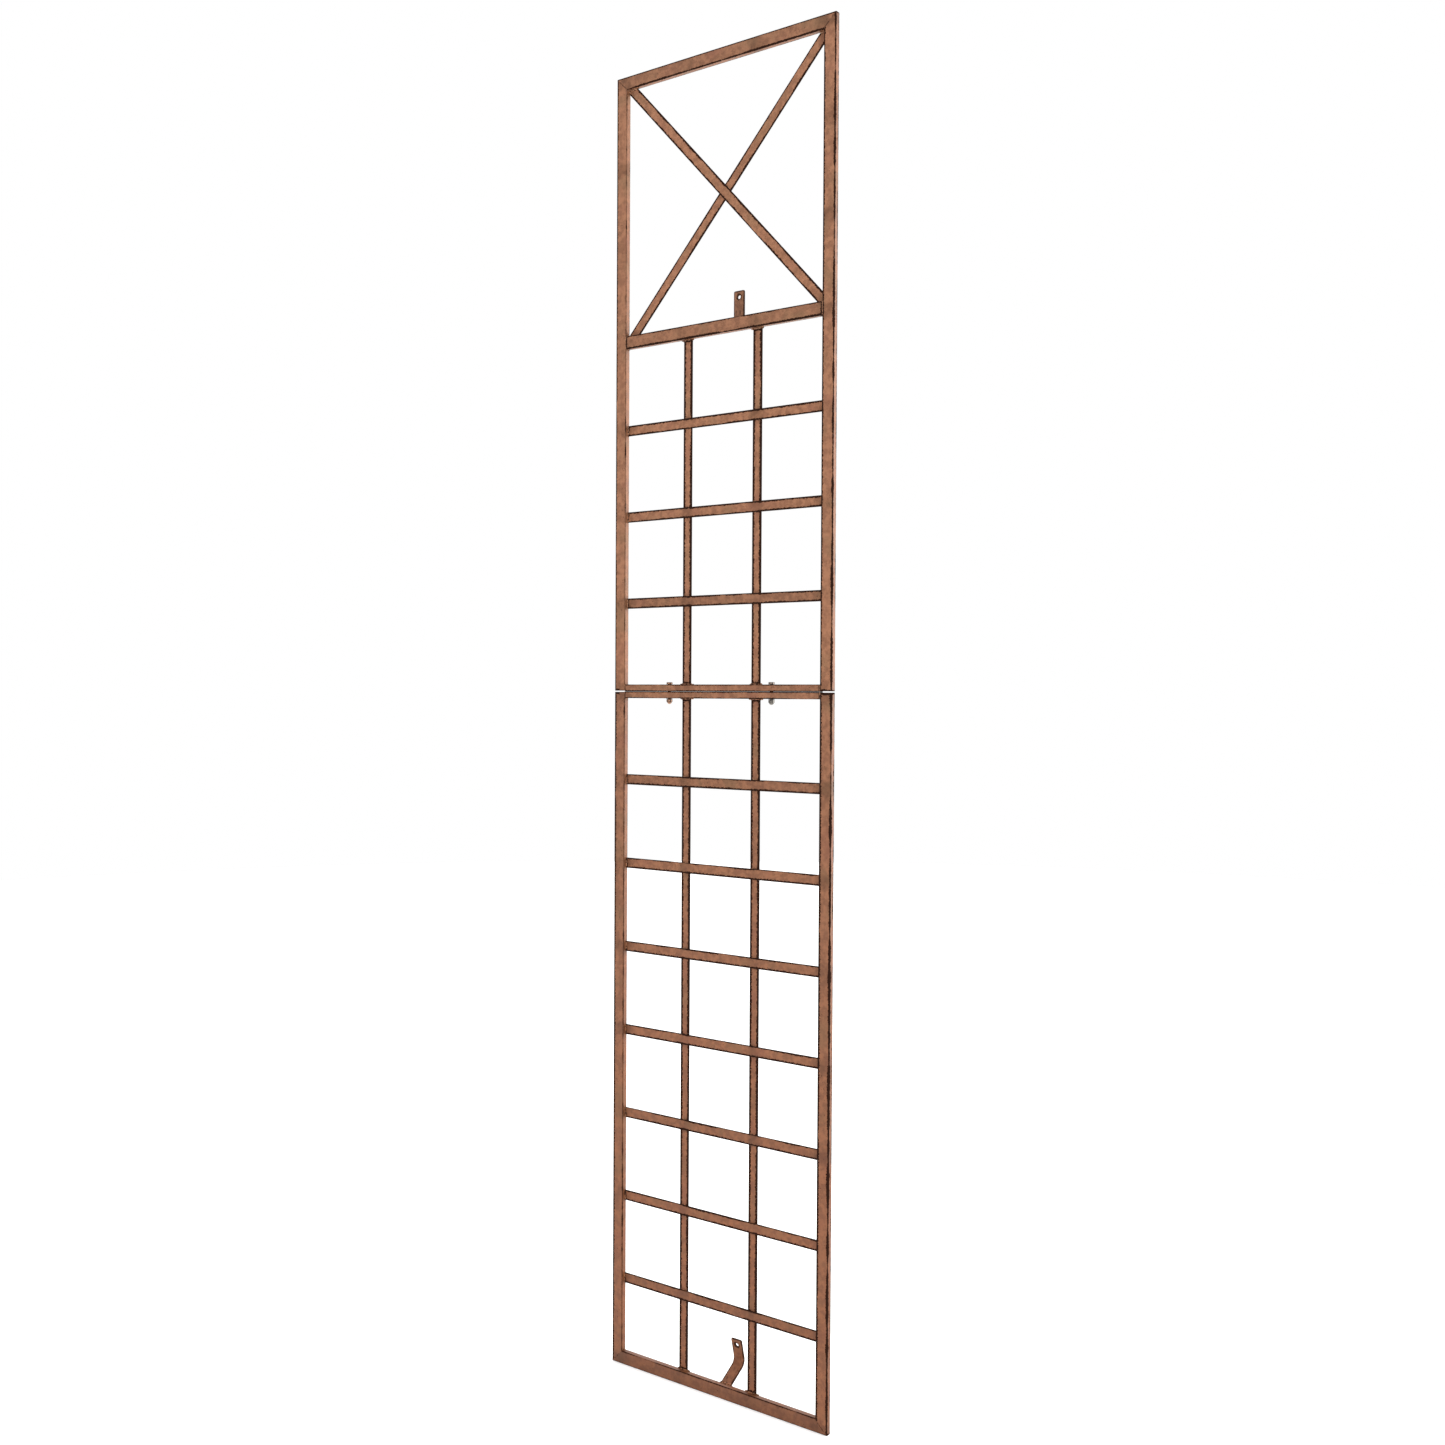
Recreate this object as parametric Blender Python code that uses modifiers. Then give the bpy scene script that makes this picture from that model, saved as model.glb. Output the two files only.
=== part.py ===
"""Wall trellis in two bolted panels, made of painted steel tube and flat bar.

The lower panel is a rectangular tube frame with seven flat slats across two flat uprights. The upper panel has the
same frame and uprights with three slats, and a square bay with a diagonal cross at its top. The panels stand on each
other at two narrow joint rails, held together by two bolts with washers and cap nuts. A bent strap on the back of
each panel carries a screw hole for the wall.

Frame: the origin is the middle of the bottom rail's underside. +X is to the right seen from the front, +Y runs back
to the wall and +Z is up. Every length is in metres.
"""

import math

import bmesh
import bpy
from mathutils import Matrix, Vector

# Overall size.
TRELLIS_HEIGHT = 2.500
TRELLIS_WIDTH = 0.500
JOINT_HEIGHT = 1.316          # plane where the upper panel stands on the lower one
MID_RAIL_TOP = 2.002          # underside of the square bay

# Frame tube: rectangular, its wide face to the front.
TUBE_FACE = 0.025
TUBE_DEPTH = 0.012
TUBE_WALL = 0.0015
TUBE_ROUND = 0.002
JOINT_TUBE = 0.013            # height of the two joint rails' tube
STILE_END_RELIEF = 0.0012     # each stile stops this far short of the joint plane

# Flat bar of the slats, uprights and braces.
BAR_WIDTH = 0.020
BAR_THICKNESS = 0.002
BAR_ROUND = 0.0004
UPRIGHT_X = 0.080             # distance of each upright's middle from the centre line
UPPER_SLATS = 3
LOWER_SLATS = 7
LOWER_SLAT_PITCH = 0.1628     # the lowest opening takes what is left
LOWER_TOP_OPENING = 0.148
RISING_FOOT_INSET = 0.012     # how far in from the bay's corner the rising brace lands
FALLING_HEAD_INSET = 0.007    # the same for the falling brace's upper end

# Wall brackets: a strap that rises from the rail's back to a flat tab. A tab may lean towards the frame.
STRAP_WIDTH = 0.024
STRAP_THICKNESS = 0.003
STRAP_ROUND = 0.0006
STRAP_BEND_RADIUS = 0.016
STRAP_CORNER_RADIUS = 0.003
STRAP_ANGLE = math.radians(32.0)
WALL_PLANE = 0.049            # rearmost point of both straps, where they meet the wall
SCREW_HOLE_DIAMETER = 0.0075
SCREW_HOLE_DROP = 0.012       # hole centre below the tab's top edge
LOWER_BRACKET_X = 0.020
LOWER_FOOT_DROP = 0.001       # strap's middle below the rail's top where it meets the rail
LOWER_TAB_RISE = 0.073        # tab's top edge above the rail's top
LOWER_TAB_LEAN = math.radians(14.0)
UPPER_BRACKET_X = 0.007
UPPER_FOOT_DROP = 0.018
UPPER_TAB_RISE = 0.063
UPPER_TAB_LEAN = 0.0

# Fasteners: M6 hexagon bolts with plain washers and cap nuts.
BOLT_X = 0.118
BOLT_DIAMETER = 0.006
BOLT_LENGTH = 0.035
BOLT_HEAD_HEIGHT = 0.004
BOLT_TIP_CHAMFER = 0.0008
HEX_ACROSS_FLATS = 0.010
HEX_CHAMFER = 0.0006
BOLT_HOLE_DIAMETER = 0.0068
WASHER_DIAMETER = 0.012
WASHER_BORE = 0.0066
WASHER_THICKNESS = 0.0012
NUT_HEX_HEIGHT = 0.005
NUT_HEIGHT = 0.009
NUT_DOME_DIAMETER = 0.0095
NUT_BORE = 0.0066
NUT_BORE_DEPTH = 0.007

# Shared working values.
GAP = 0.0003                  # clearance between touching pieces
CUT_MARGIN = 0.010            # how far a cutter runs past what it cuts
CUT_BLOCK = 0.080             # side of the block that makes a slanting cut
ROUND_SEGMENTS = 3
BEND_SEGMENTS = 10
TURNED_STEPS = 32
DOME_STEPS = 8
MERGE_DISTANCE = 0.00001
SMOOTH_ANGLE = math.radians(35.0)

# Values worked out from the dimensions above.
HALF_WIDTH = TRELLIS_WIDTH / 2
OPENING_HALF = HALF_WIDTH - TUBE_FACE
STILE_X = HALF_WIDTH - TUBE_FACE / 2
TUBE_BACK = TUBE_DEPTH / 2
UPRIGHT_Y = TUBE_BACK - BAR_THICKNESS / 2
SLAT_Y = UPRIGHT_Y - BAR_THICKNESS - GAP
BAY_TOP = TRELLIS_HEIGHT - TUBE_FACE
MID_RAIL_BOTTOM = MID_RAIL_TOP - TUBE_FACE
UPPER_JOINT_TOP = JOINT_HEIGHT + GAP / 2 + JOINT_TUBE
LOWER_JOINT_BOTTOM = JOINT_HEIGHT - GAP / 2 - JOINT_TUBE

SIDES = (("left", -1), ("right", 1))
ALONG = {"X": Vector((1, 0, 0)), "Y": Vector((0, 1, 0)), "Z": Vector((0, 0, 1))}


def clear_scene():
    for old in list(bpy.data.objects):
        bpy.data.objects.remove(old, do_unlink=True)


def make_collection(name):
    collection = bpy.data.collections.new(name)
    bpy.context.scene.collection.children.link(collection)
    return collection


def make_material(name, colour, roughness, metallic):
    material = bpy.data.materials.new(name)
    material.use_nodes = True
    shader = material.node_tree.nodes["Principled BSDF"]
    shader.inputs["Base Color"].default_value = (*colour, 1.0)
    shader.inputs["Roughness"].default_value = roughness
    shader.inputs["Metallic"].default_value = metallic
    material.diffuse_color = (*colour, 1.0)
    return material


def make_panel_empty(name, location):
    empty = bpy.data.objects.new(name, None)
    empty.location = location
    PARTS.objects.link(empty)
    return empty


def finish_mesh(name, bm):
    mesh = bpy.data.meshes.new(name)
    bmesh.ops.recalc_face_normals(bm, faces=bm.faces)
    bm.to_mesh(mesh)
    bm.free()
    mesh.shade_smooth()
    mesh.set_sharp_from_angle(angle=SMOOTH_ANGLE)
    return mesh


def add_part(name, mesh, location, panel, material):
    """Put a named sub-part in the trellis, keeping its world place under its panel's empty."""
    part = bpy.data.objects.new(name, mesh)
    PARTS.objects.link(part)
    part.data.materials.append(material)
    part.location = location
    part.parent = panel
    part.matrix_parent_inverse = Matrix.Translation(-panel.location)
    return part


def add_cutter(name, mesh, location):
    cutter = bpy.data.objects.new(name, mesh)
    CUTTERS.objects.link(cutter)
    cutter.location = location
    cutter.hide_render = True
    cutter.display_type = "WIRE"
    return cutter


def add_boolean(part, tool, operation):
    modifier = part.modifiers.new(tool.name, "BOOLEAN")
    modifier.operation = operation
    modifier.solver = "EXACT"
    modifier.object = tool


def block_mesh(name, size, long_axis=None, edge_round=0.0):
    """A block of the given size, with the edges along one axis rounded like rolled stock."""
    bm = bmesh.new()
    bmesh.ops.create_cube(bm, size=1.0)
    bmesh.ops.scale(bm, vec=size, verts=bm.verts)
    if edge_round:
        direction = ALONG[long_axis]
        edges = [e for e in bm.edges
                 if abs((e.verts[1].co - e.verts[0].co).normalized().dot(direction)) > 0.99]
        bmesh.ops.bevel(bm, geom=edges, offset=edge_round, segments=ROUND_SEGMENTS,
                        profile=0.5, affect="EDGES", clamp_overlap=True)
    return finish_mesh(name, bm)


def cylinder_mesh(name, diameter, length):
    bm = bmesh.new()
    bmesh.ops.create_cone(bm, cap_ends=True, segments=TURNED_STEPS, radius1=diameter / 2,
                          radius2=diameter / 2, depth=length)
    return finish_mesh(name, bm)


def hexagon_mesh(name, low, high):
    """A hexagonal prism between two heights, its flats square to the world axes."""
    across_corners = HEX_ACROSS_FLATS / math.cos(math.radians(30.0))
    bm = bmesh.new()
    bmesh.ops.create_cone(bm, cap_ends=True, segments=6, radius1=across_corners / 2,
                          radius2=across_corners / 2, depth=high - low)
    bmesh.ops.translate(bm, vec=(0, 0, (low + high) / 2), verts=bm.verts)
    return finish_mesh(name, bm)


def turned_tool(name, profile, location):
    """A solid turned about the vertical axis from an outline that runs down its outer side."""
    bm = bmesh.new()
    points = [bm.verts.new((radius, 0, height)) for radius, height in profile]
    for upper, lower in zip(points, points[1:]):
        bm.edges.new((upper, lower))
    mesh = bpy.data.meshes.new(name)
    bm.to_mesh(mesh)
    bm.free()
    tool = add_cutter(name, mesh, location)
    screw = tool.modifiers.new("turn", "SCREW")
    screw.steps = TURNED_STEPS
    screw.render_steps = TURNED_STEPS
    screw.use_merge_vertices = True
    screw.merge_threshold = MERGE_DISTANCE
    return tool


def add_tube(name, centre, length, long_axis, panel, material, face=TUBE_FACE):
    """A hollow frame tube with open ends, its wall an even thickness all round."""
    across = "Z" if long_axis == "X" else "X"
    size = {long_axis: length, across: face, "Y": TUBE_DEPTH}
    outside = block_mesh(name, [size[axis] for axis in "XYZ"], long_axis, TUBE_ROUND)
    tube = add_part(name, outside, centre, panel, material)
    bore = {long_axis: length + 2 * CUT_MARGIN, across: face - 2 * TUBE_WALL, "Y": TUBE_DEPTH - 2 * TUBE_WALL}
    bore_mesh = block_mesh(name + "_bore", [bore[axis] for axis in "XYZ"])
    add_boolean(tube, add_cutter(name + "_bore", bore_mesh, centre), "DIFFERENCE")
    return tube


def cut_off(part, name, plane_point, removed_side):
    """Cut a part along a plane and take away the side that removed_side points to."""
    normal = Vector(removed_side).normalized()
    block = add_cutter(name, block_mesh(name, (CUT_BLOCK, CUT_BLOCK, CUT_BLOCK)),
                       Vector(plane_point) + normal * (CUT_BLOCK - GAP) / 2)
    block.rotation_mode = "QUATERNION"
    block.rotation_quaternion = Vector((0, 0, 1)).rotation_difference(normal)
    add_boolean(part, block, "DIFFERENCE")


def add_stile(panel_name, side_name, side, bottom, top, mitre_height, mitre_up, panel, material):
    """An upright of the frame: cut square at the joint and mitred at the outer corner."""
    name = f"{panel_name}_{side_name}_stile"
    centre = (side * STILE_X, 0, (bottom + top) / 2)
    stile = add_tube(name, centre, top - bottom, "Z", panel, material)
    mitre_middle = (side * STILE_X, 0, mitre_height)
    cut_off(stile, name + "_mitre", mitre_middle, (-side, 0, mitre_up))


def add_mitred_rail(name, height, mitre_up, panel, material):
    """The full-width rail at the bottom or top, mitred to both stiles."""
    rail = add_tube(name, (0, 0, height), TRELLIS_WIDTH, "X", panel, material)
    for side_name, side in SIDES:
        mitre_middle = (side * STILE_X, 0, height)
        cut_off(rail, f"{name}_{side_name}_mitre", mitre_middle, (side, 0, -mitre_up))


def add_joint_rail(name, height, panel, material):
    """The narrow rail at the joint, drilled through both walls for the two bolts."""
    length = 2 * (OPENING_HALF - GAP)
    rail = add_tube(name, (0, 0, height), length, "X", panel, material, face=JOINT_TUBE)
    for side_name, side in SIDES:
        hole_name = f"{name}_{side_name}_hole"
        hole = cylinder_mesh(hole_name, BOLT_HOLE_DIAMETER, JOINT_TUBE + CUT_MARGIN)
        add_boolean(rail, add_cutter(hole_name, hole, (side * BOLT_X, 0, height)), "DIFFERENCE")


def add_slat(name, height, panel, material):
    length = 2 * (OPENING_HALF - GAP)
    bar = block_mesh(name, (length, BAR_THICKNESS, BAR_WIDTH), "X", BAR_ROUND)
    add_part(name, bar, (0, SLAT_Y, height), panel, material)


def add_uprights(panel_name, bottom, top, panel, material):
    length = top - bottom - 2 * GAP
    for side_name, side in SIDES:
        name = f"{panel_name}_{side_name}_upright"
        bar = block_mesh(name, (BAR_WIDTH, BAR_THICKNESS, length), "Z", BAR_ROUND)
        add_part(name, bar, (side * UPRIGHT_X, UPRIGHT_Y, (bottom + top) / 2), panel, material)


def add_brace(name, foot, head, depth, panel, material):
    """A diagonal flat bar, its ends cut to fit the bay it crosses."""
    foot, head = Vector(foot), Vector(head)
    run = head - foot
    bar = block_mesh(name, (run.length + BAR_WIDTH * 2, BAR_THICKNESS, BAR_WIDTH), "X", BAR_ROUND)
    middle = (foot + head) / 2
    brace = add_part(name, bar, (middle.x, depth, middle.y), panel, material)
    brace.rotation_euler.y = -math.atan2(run.y, run.x)
    bay_size = (2 * (OPENING_HALF - GAP), 2 * TUBE_DEPTH, BAY_TOP - MID_RAIL_TOP - 2 * GAP)
    bay = add_cutter(name + "_bay", block_mesh(name + "_bay", bay_size), (0, 0, (MID_RAIL_TOP + BAY_TOP) / 2))
    add_boolean(brace, bay, "INTERSECT")


def strap_path(foot_height, top_height, lean):
    """Side view of a wall bracket's middle line, from inside the rail's back up to the tab's top."""
    slope = Vector((math.cos(STRAP_ANGLE), math.sin(STRAP_ANGLE)))
    foot = Vector((TUBE_BACK, foot_height))
    centre_y = WALL_PLANE - STRAP_THICKNESS / 2 - STRAP_BEND_RADIUS
    bend_start_y = centre_y + STRAP_BEND_RADIUS * slope.y
    bend_start_z = foot.y + (bend_start_y - foot.x) * math.tan(STRAP_ANGLE)
    centre = Vector((centre_y, bend_start_z + STRAP_BEND_RADIUS * slope.x))
    start_angle = STRAP_ANGLE - math.pi / 2
    path = [foot - CUT_MARGIN * slope]
    for step in range(BEND_SEGMENTS + 1):
        angle = start_angle + (lean - start_angle) * step / BEND_SEGMENTS
        path.append(centre + STRAP_BEND_RADIUS * Vector((math.cos(angle), math.sin(angle))))
    bend_end = path[-1]
    path.append(Vector((bend_end.x - (top_height - bend_end.y) * math.tan(lean), top_height)))
    return path


def add_wall_bracket(name, across, rail_top, foot_drop, tab_rise, lean, panel, material):
    """A bent strap welded to the rail's back, with rounded tab corners and one screw hole."""
    path = strap_path(rail_top - foot_drop, rail_top + tab_rise, lean)
    tab_top = path[-1]
    bm = bmesh.new()
    line = [bm.verts.new((-STRAP_WIDTH / 2, y, z)) for y, z in path]
    edges = [bm.edges.new(pair) for pair in zip(line, line[1:])]
    swept = bmesh.ops.extrude_edge_only(bm, edges=edges)
    moved = [item for item in swept["geom"] if isinstance(item, bmesh.types.BMVert)]
    bmesh.ops.translate(bm, vec=(STRAP_WIDTH, 0, 0), verts=moved)
    corners = [v for v in bm.verts if abs(v.co.z - tab_top.y) < MERGE_DISTANCE]
    bmesh.ops.bevel(bm, geom=corners, offset=STRAP_CORNER_RADIUS, segments=ROUND_SEGMENTS,
                    profile=0.5, affect="VERTICES")
    bracket = add_part(name, finish_mesh(name, bm), (across, 0, 0), panel, material)
    solid = bracket.modifiers.new("thickness", "SOLIDIFY")
    solid.thickness = STRAP_THICKNESS
    solid.offset = 0.0
    edge = bracket.modifiers.new("edge_round", "BEVEL")
    edge.width = STRAP_ROUND
    edge.segments = 2
    edge.limit_method = "ANGLE"
    edge.angle_limit = math.radians(60.0)
    cut_off(bracket, name + "_foot_cut", (across, TUBE_BACK + GAP / 2, rail_top), (0, -1, 0))
    hole = cylinder_mesh(name + "_hole", SCREW_HOLE_DIAMETER, STRAP_THICKNESS + CUT_MARGIN)
    hole_y = tab_top.x + SCREW_HOLE_DROP * math.sin(lean)
    hole_z = tab_top.y - SCREW_HOLE_DROP * math.cos(lean)
    drill = add_cutter(name + "_hole", hole, (across, hole_y, hole_z))
    drill.rotation_euler.x = math.pi / 2 + lean
    add_boolean(bracket, drill, "DIFFERENCE")


def hexagon_trim(name, low, high, chamfer_low, location):
    """A turned blank that takes the corners off a hexagon's top face, and off its lower face too if asked."""
    widest = HEX_ACROSS_FLATS / math.cos(math.radians(30.0)) / 2
    face = widest - HEX_CHAMFER * 1.5
    bottom = face if chamfer_low else widest
    profile = [(0, high), (face, high), (widest + MERGE_DISTANCE, high - HEX_CHAMFER)]
    profile += [(widest + MERGE_DISTANCE, low + HEX_CHAMFER), (bottom, low), (0, low)]
    return turned_tool(name, profile, location)


def add_bolt(side_name, side, panel, material):
    """A hexagon bolt, its head on the upper joint rail and its shank down through both rails."""
    name = f"joint_bolt_{side_name}"
    seat = (side * BOLT_X, 0, UPPER_JOINT_TOP + GAP)
    bolt = add_part(name, hexagon_mesh(name, 0, BOLT_HEAD_HEIGHT), seat, panel, material)
    add_boolean(bolt, hexagon_trim(name + "_trim", 0, BOLT_HEAD_HEIGHT, False, seat), "INTERSECT")
    radius = BOLT_DIAMETER / 2
    tip = -BOLT_LENGTH
    profile = [(0, BOLT_HEAD_HEIGHT / 2), (radius, BOLT_HEAD_HEIGHT / 2), (radius, tip + BOLT_TIP_CHAMFER)]
    profile += [(radius - BOLT_TIP_CHAMFER, tip), (0, tip)]
    add_boolean(bolt, turned_tool(name + "_shank", profile, seat), "UNION")


def add_washer(side_name, side, panel, material):
    name = f"joint_washer_{side_name}"
    place = (side * BOLT_X, 0, LOWER_JOINT_BOTTOM - GAP - WASHER_THICKNESS / 2)
    washer = add_part(name, cylinder_mesh(name, WASHER_DIAMETER, WASHER_THICKNESS), place, panel, material)
    bore = cylinder_mesh(name + "_bore", WASHER_BORE, WASHER_THICKNESS + CUT_MARGIN)
    add_boolean(washer, add_cutter(name + "_bore", bore, place), "DIFFERENCE")


def add_cap_nut(side_name, side, panel, material):
    """A cap nut under the washer: a chamfered hexagon, a dome below it and a blind bore."""
    name = f"joint_cap_nut_{side_name}"
    seat = (side * BOLT_X, 0, LOWER_JOINT_BOTTOM - WASHER_THICKNESS - 2 * GAP)
    nut = add_part(name, hexagon_mesh(name, -NUT_HEX_HEIGHT, 0), seat, panel, material)
    add_boolean(nut, hexagon_trim(name + "_trim", -NUT_HEX_HEIGHT, 0, True, seat), "INTERSECT")
    radius = NUT_DOME_DIAMETER / 2
    dome_centre = radius - NUT_HEIGHT
    profile = [(0, -NUT_HEX_HEIGHT / 2), (radius, -NUT_HEX_HEIGHT / 2)]
    for step in range(DOME_STEPS + 1):
        angle = -math.pi / 2 * step / DOME_STEPS
        profile.append((radius * math.cos(angle), dome_centre + radius * math.sin(angle)))
    profile[-1] = (0, -NUT_HEIGHT)
    add_boolean(nut, turned_tool(name + "_dome", profile, seat), "UNION")
    bore = cylinder_mesh(name + "_bore", NUT_BORE, 2 * NUT_BORE_DEPTH)
    add_boolean(nut, add_cutter(name + "_bore", bore, seat), "DIFFERENCE")


def add_braces(panel, material):
    """The cross in the square bay: the falling bar lies in front of the rising one."""
    add_brace("upper_falling_brace", (OPENING_HALF, MID_RAIL_TOP), (FALLING_HEAD_INSET - OPENING_HALF, BAY_TOP),
              SLAT_Y, panel, material)
    add_brace("upper_rising_brace", (RISING_FOOT_INSET - OPENING_HALF, MID_RAIL_TOP), (OPENING_HALF, BAY_TOP),
              UPRIGHT_Y, panel, material)


def build_lower_panel(panel, paint, bracket_paint):
    stile_top = JOINT_HEIGHT - STILE_END_RELIEF
    for side_name, side in SIDES:
        add_stile("lower", side_name, side, 0, stile_top, TUBE_FACE / 2, -1, panel, paint)
    add_mitred_rail("lower_bottom_rail", TUBE_FACE / 2, -1, panel, paint)
    add_joint_rail("lower_joint_rail", LOWER_JOINT_BOTTOM + JOINT_TUBE / 2, panel, paint)
    top_slat = LOWER_JOINT_BOTTOM - LOWER_TOP_OPENING - BAR_WIDTH / 2
    for index in range(LOWER_SLATS):
        add_slat(f"lower_slat_{index + 1}", top_slat - LOWER_SLAT_PITCH * index, panel, paint)
    add_uprights("lower", TUBE_FACE, LOWER_JOINT_BOTTOM, panel, paint)
    add_wall_bracket("lower_wall_bracket", LOWER_BRACKET_X, TUBE_FACE, LOWER_FOOT_DROP, LOWER_TAB_RISE,
                     LOWER_TAB_LEAN, panel, bracket_paint)


def build_upper_panel(panel, paint, bracket_paint):
    stile_bottom = JOINT_HEIGHT + STILE_END_RELIEF
    top_middle = TRELLIS_HEIGHT - TUBE_FACE / 2
    for side_name, side in SIDES:
        add_stile("upper", side_name, side, stile_bottom, TRELLIS_HEIGHT, top_middle, 1, panel, paint)
    add_mitred_rail("upper_top_rail", top_middle, 1, panel, paint)
    add_tube("upper_mid_rail", (0, 0, MID_RAIL_TOP - TUBE_FACE / 2), 2 * (OPENING_HALF - GAP), "X", panel, paint)
    add_joint_rail("upper_joint_rail", UPPER_JOINT_TOP - JOINT_TUBE / 2, panel, paint)
    opening = (MID_RAIL_BOTTOM - UPPER_JOINT_TOP - UPPER_SLATS * BAR_WIDTH) / (UPPER_SLATS + 1)
    for index in range(UPPER_SLATS):
        height = MID_RAIL_BOTTOM - (index + 1) * (opening + BAR_WIDTH) + BAR_WIDTH / 2
        add_slat(f"upper_slat_{index + 1}", height, panel, paint)
    add_uprights("upper", UPPER_JOINT_TOP, MID_RAIL_BOTTOM, panel, paint)
    add_braces(panel, paint)
    add_wall_bracket("upper_wall_bracket", UPPER_BRACKET_X, MID_RAIL_TOP, UPPER_FOOT_DROP, UPPER_TAB_RISE,
                     UPPER_TAB_LEAN, panel, bracket_paint)


clear_scene()
PARTS = make_collection("wall_trellis")
CUTTERS = make_collection("cutters")

frame_paint = make_material("antique_copper_paint", (0.36, 0.17, 0.10), 0.45, 0.55)
strap_paint = make_material("dark_copper_paint", (0.24, 0.11, 0.07), 0.50, 0.50)
bolt_finishes = {
    "left": make_material("copper_painted_fastener", (0.34, 0.16, 0.10), 0.45, 0.60),
    "right": make_material("zinc_plated_fastener", (0.50, 0.49, 0.47), 0.35, 1.00),
}

lower_panel = make_panel_empty("lower_panel", (0, 0, 0))
upper_panel = make_panel_empty("upper_panel", (0, 0, JOINT_HEIGHT))
build_lower_panel(lower_panel, frame_paint, strap_paint)
build_upper_panel(upper_panel, frame_paint, strap_paint)
for bolt_side, direction in SIDES:
    add_bolt(bolt_side, direction, upper_panel, bolt_finishes[bolt_side])
    add_washer(bolt_side, direction, lower_panel, bolt_finishes[bolt_side])
    add_cap_nut(bolt_side, direction, lower_panel, bolt_finishes[bolt_side])
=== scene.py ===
# Looks of the wall trellis, built around its imported frame. The tubes, bars and straps keep their CAD
# shape and get a copper paint brushed over a dark base coat; the dark lines along their edges are partly
# painted shade of the rounded edges. The weld beads, the dark paint in the joint, which is partly painted
# shade of the groove, and the fasteners are built here. Lengths are metres in the row frame: +X right,
# +Y back to the wall, +Z up.

import math
import random

import bmesh
import bpy
from mathutils import Matrix, Vector, noise


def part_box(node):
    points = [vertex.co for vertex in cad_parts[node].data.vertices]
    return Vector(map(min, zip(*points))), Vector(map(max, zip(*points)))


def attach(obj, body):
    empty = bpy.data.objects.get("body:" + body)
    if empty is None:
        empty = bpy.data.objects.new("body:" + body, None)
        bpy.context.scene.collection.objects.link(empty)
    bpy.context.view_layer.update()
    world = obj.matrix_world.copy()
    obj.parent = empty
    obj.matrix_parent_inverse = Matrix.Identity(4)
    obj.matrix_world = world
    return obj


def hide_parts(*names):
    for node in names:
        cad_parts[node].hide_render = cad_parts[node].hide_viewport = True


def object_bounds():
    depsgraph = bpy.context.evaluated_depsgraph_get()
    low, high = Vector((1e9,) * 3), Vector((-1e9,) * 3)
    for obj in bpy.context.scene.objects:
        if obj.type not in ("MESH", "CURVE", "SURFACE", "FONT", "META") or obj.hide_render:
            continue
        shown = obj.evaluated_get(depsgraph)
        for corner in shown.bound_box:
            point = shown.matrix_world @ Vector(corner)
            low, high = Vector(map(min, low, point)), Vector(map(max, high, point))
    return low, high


MM = 0.001

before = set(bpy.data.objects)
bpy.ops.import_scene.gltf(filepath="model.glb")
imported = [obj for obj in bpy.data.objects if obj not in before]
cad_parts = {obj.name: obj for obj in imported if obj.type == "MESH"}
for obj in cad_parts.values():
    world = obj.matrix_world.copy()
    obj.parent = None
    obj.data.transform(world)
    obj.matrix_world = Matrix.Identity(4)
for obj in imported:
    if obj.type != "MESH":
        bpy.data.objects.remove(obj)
cad_low, cad_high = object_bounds()

# ---------------------------------------------------------------- places read from the frame
PANELS = {"lower": "lower_panel", "upper": "upper_panel"}
SIDES = (("left", -1), ("right", 1))
SLAT_COUNT = {"lower": 7, "upper": 3}
BRACES = ("upper_falling_brace", "upper_rising_brace")
FRAME_HALF_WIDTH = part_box("lower_right_stile")[1].x
STILE_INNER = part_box("lower_right_stile")[0].x
TUBE_FRONT, TUBE_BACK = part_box("lower_right_stile")[0].y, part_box("lower_right_stile")[1].y
TRELLIS_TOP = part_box("upper_top_rail")[1].z
UPRIGHT_MIDDLE = (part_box("lower_right_upright")[0].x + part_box("lower_right_upright")[1].x) / 2
UPRIGHT_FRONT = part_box("lower_right_upright")[0].y
BAR_HALF = (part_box("lower_right_upright")[1].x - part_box("lower_right_upright")[0].x) / 2
JOINT_PLANE = (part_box("lower_joint_rail")[1].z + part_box("upper_joint_rail")[0].z) / 2
OUTER_RAIL = {"lower": "lower_bottom_rail", "upper": "upper_top_rail"}
BRACKET_RAIL = {"lower": "lower_bottom_rail", "upper": "upper_mid_rail"}
MITRE_HEIGHT = {"lower": 0.0, "upper": TRELLIS_TOP}
PROUD_LIMIT = 0.05 * MM                    # a front weld is ground this far below the frame's face

# ---------------------------------------------------------------- paint colours, linear
COPPER_LIGHT = (0.297, 0.133, 0.070, 1)
COPPER_DARK = (0.200, 0.086, 0.044, 1)
COPPER_OLIVE = (0.198, 0.108, 0.054, 1)
COPPER_RED = (0.242, 0.094, 0.055, 1)
COPPER_RUBBED = (0.52, 0.33, 0.22, 1)      # the paint where it is thin, over the bolts and nuts
LOW_DARKENING = (0.86, 0.69, 0.53, 1)             # the paint is multiplied by this at ground level, so it is darker towards the bottom
LOW_DARKENING_TOP = 1.7                             # height at which that darkening ends
SCORCHED = (0.58, 0.56, 0.50, 1)           # what the paint is dulled by beside a weld
# dark base coat where the copper is brushed off; along the edges it also stands in for painted shade
PATINA_AND_SHADE = (0.021, 0.009, 0.006, 1)
WELD_LIGHT = (0.42, 0.27, 0.165, 1)
ZINC = (0.42, 0.40, 0.36, 1)
ZINC_DULL = (0.16, 0.145, 0.125, 1)
GRIME = (0.022, 0.017, 0.013, 1)
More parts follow.
